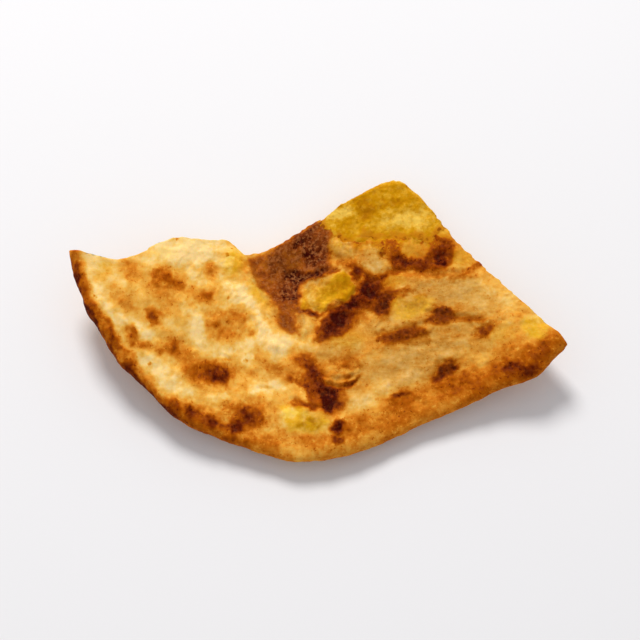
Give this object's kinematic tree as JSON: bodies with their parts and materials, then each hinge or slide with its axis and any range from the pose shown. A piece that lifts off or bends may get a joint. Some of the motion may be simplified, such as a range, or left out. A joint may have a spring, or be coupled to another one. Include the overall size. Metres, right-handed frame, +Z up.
{
  "type": "aloo paratha slice",
  "caption": "Bowed quarter wedge of pan-fried flatbread stuffed with spiced mashed potato, with straight cut sides, a torn blunt tip and a browned, rounded rim.",
  "frame": {"origin": "centre of the bounding box in X and Y, at the height of the flat belly that rests on the table", "axes": "+X along the longest extent, towards the right end of the baked rim; +Y towards the torn tip; +Z up, through the thin way of the bread"},
  "size_m": [0.1234, 0.0738, 0.0176],
  "materials": {
    "dough": "pan-fried wheat dough, matte with a slight oily sheen",
    "filling": "moist, crumbly, turmeric-yellow mashed potato"
  },
  "bodies": {
    "root": {"dough": "dough", "filling": "filling"}
  },
  "joints": []
}
